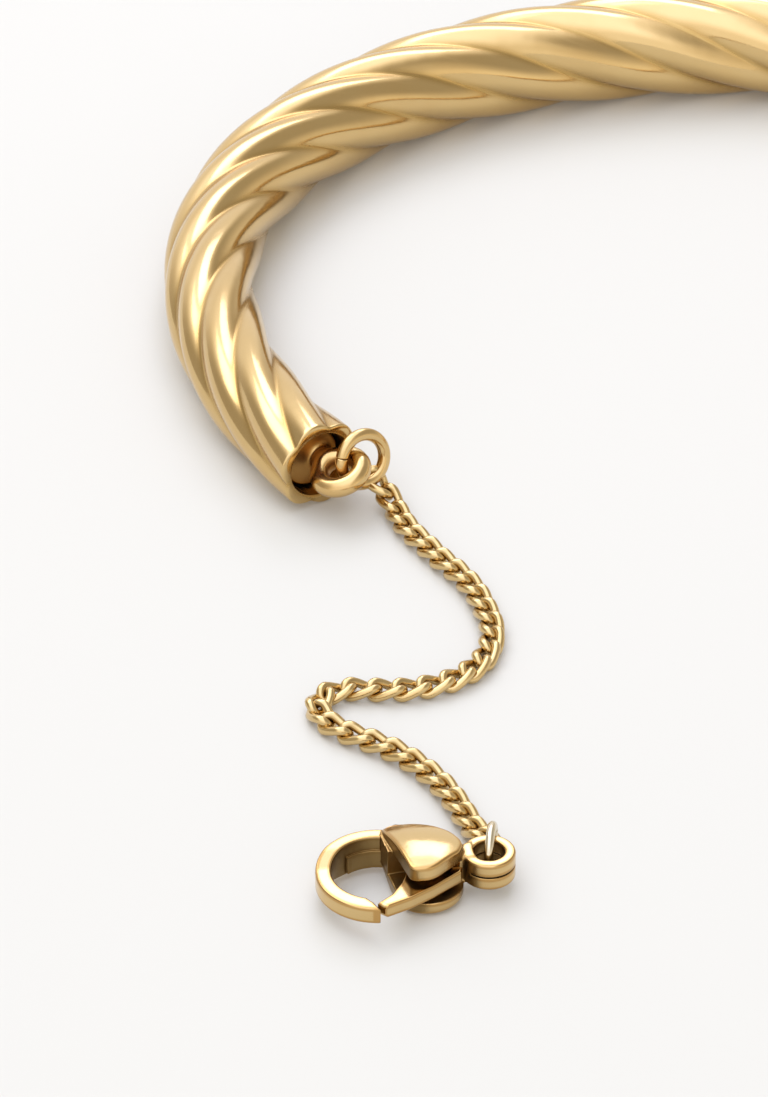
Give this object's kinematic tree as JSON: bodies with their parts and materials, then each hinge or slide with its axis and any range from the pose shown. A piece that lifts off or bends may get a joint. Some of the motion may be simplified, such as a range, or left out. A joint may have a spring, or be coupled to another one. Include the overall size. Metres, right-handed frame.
{
  "type": "twisted wire bangle",
  "caption": "Open oval bangle of hollow twisted tube, tapering to its two ends, closed by a fine curb chain and a small lobster clasp with a sprung lever.",
  "frame": {"origin": "centre of the oval that the wrist goes through, on the surface that the bangle lies on", "axes": "+Z along the wearer's arm, up from the surface; -Y towards the gap between the tube's two ends; +X towards the end without the chain"},
  "size_m": [0.0688, 0.0895, 0.0065],
  "materials": {
    "gold": "polished gold plate",
    "chain_gold": "polished gold plate, worn on the faces of the links",
    "clasp_gold": "tumbled gold plate with soft edges",
    "pale_gold": "paler, thinly plated wire"
  },
  "bodies": {
    "root": {"bangle_tube": "gold", "end_cap_near": "gold", "end_cap_far": "gold", "chain_ring": "gold", "chain": "chain_gold", "clasp_ring": "pale_gold", "clasp_body": "clasp_gold", "clasp_pin": "clasp_gold"},
    "lever": {"clasp_lever": "clasp_gold"}
  },
  "joints": [
    {"name": "lever_hinge", "type": "hinge", "parent": "root", "child": "lever", "pos_m": [-0.0194, -0.05169, 0.0015], "axis": [0, 0, 1], "range_deg": [-28, 0], "stiffness_Nm_per_rad": 0.00002, "springref_deg": 20.05}
  ]
}
